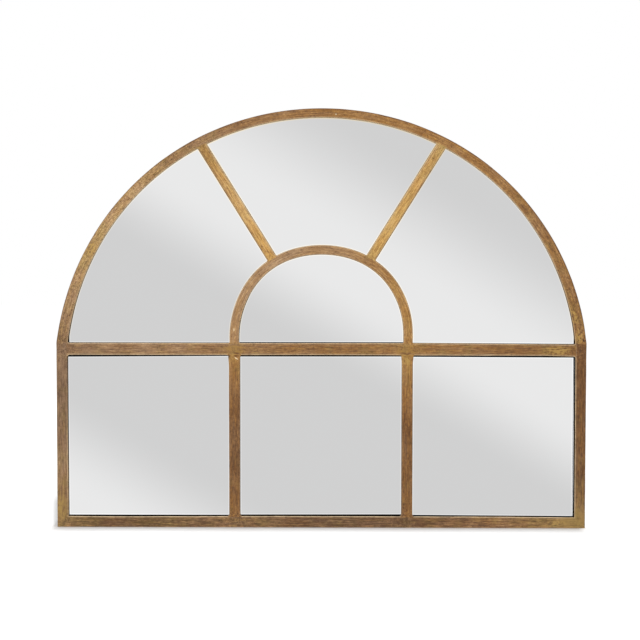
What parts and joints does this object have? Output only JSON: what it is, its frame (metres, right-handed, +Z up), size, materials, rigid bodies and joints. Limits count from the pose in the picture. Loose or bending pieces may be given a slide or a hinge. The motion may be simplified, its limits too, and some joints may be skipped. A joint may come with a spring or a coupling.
{
  "type": "arched wall mirror",
  "caption": "Arched wall mirror: an antiqued metal window frame holding separate mirror panes, with a lunette and fanned spokes, hung by swinging rings on its back.",
  "frame": {"origin": "the middle of the frame's lower edge, on the plane of the frame's rear face, which faces the wall", "axes": "+X to the right for someone looking into the mirror, +Y from the mirror towards the wall, +Z up"},
  "size_m": [1.2192, 0.0334, 0.9652],
  "materials": {
    "antique_brass": "iron with a worn antique brass leaf, brushed along each bar, speckled and lightly glossy",
    "mirror_glass": "silvered flat glass with plain ground edges",
    "foam": "white double-sided foam tape",
    "black_board": "fibreboard painted matt black",
    "black_steel": "satin black paint",
    "zinc_screw": "bright zinc plate",
    "zinc_strap": "zinc plate, lightly clouded",
    "zinc_ring": "zinc plate on drawn wire",
    "black_rubber": "matt moulded rubber"
  },
  "bodies": {
    "framed_mirror": {"left_stile": "antique_brass", "right_stile": "antique_brass", "bottom_rail": "antique_brass", "outer_arch": "antique_brass", "transom": "antique_brass", "left_mullion": "antique_brass", "right_mullion": "antique_brass", "lunette_bar": "antique_brass", "left_spoke": "antique_brass", "right_spoke": "antique_brass", "pane_lower_left": "mirror_glass", "pane_lower_centre": "mirror_glass", "pane_lower_right": "mirror_glass", "pane_upper_left": "mirror_glass", "pane_upper_centre": "mirror_glass", "pane_upper_right": "mirror_glass", "pane_lunette": "mirror_glass", "foam_tape": "foam", "backing_board": "black_board", "retaining_tabs": "black_steel", "board_screws": "zinc_screw", "left_hanger_plate": "black_steel", "right_hanger_plate": "black_steel", "left_ring_strap": "zinc_strap", "right_ring_strap": "zinc_strap", "strap_screws": "zinc_screw", "wall_bumpers": "black_rubber"},
    "left_ring": {"left_hanging_ring": "zinc_ring"},
    "right_ring": {"right_hanging_ring": "zinc_ring"}
  },
  "joints": [
    {"name": "left_ring_swing", "type": "hinge", "parent": "framed_mirror", "child": "left_ring", "pos_m": [-0.4, 0.00325, 0.73957], "axis": [1, 0, 0], "range_deg": [0, 180]},
    {"name": "right_ring_swing", "type": "hinge", "parent": "framed_mirror", "child": "right_ring", "pos_m": [0.4, 0.00325, 0.73957], "axis": [1, 0, 0], "range_deg": [0, 180]}
  ]
}
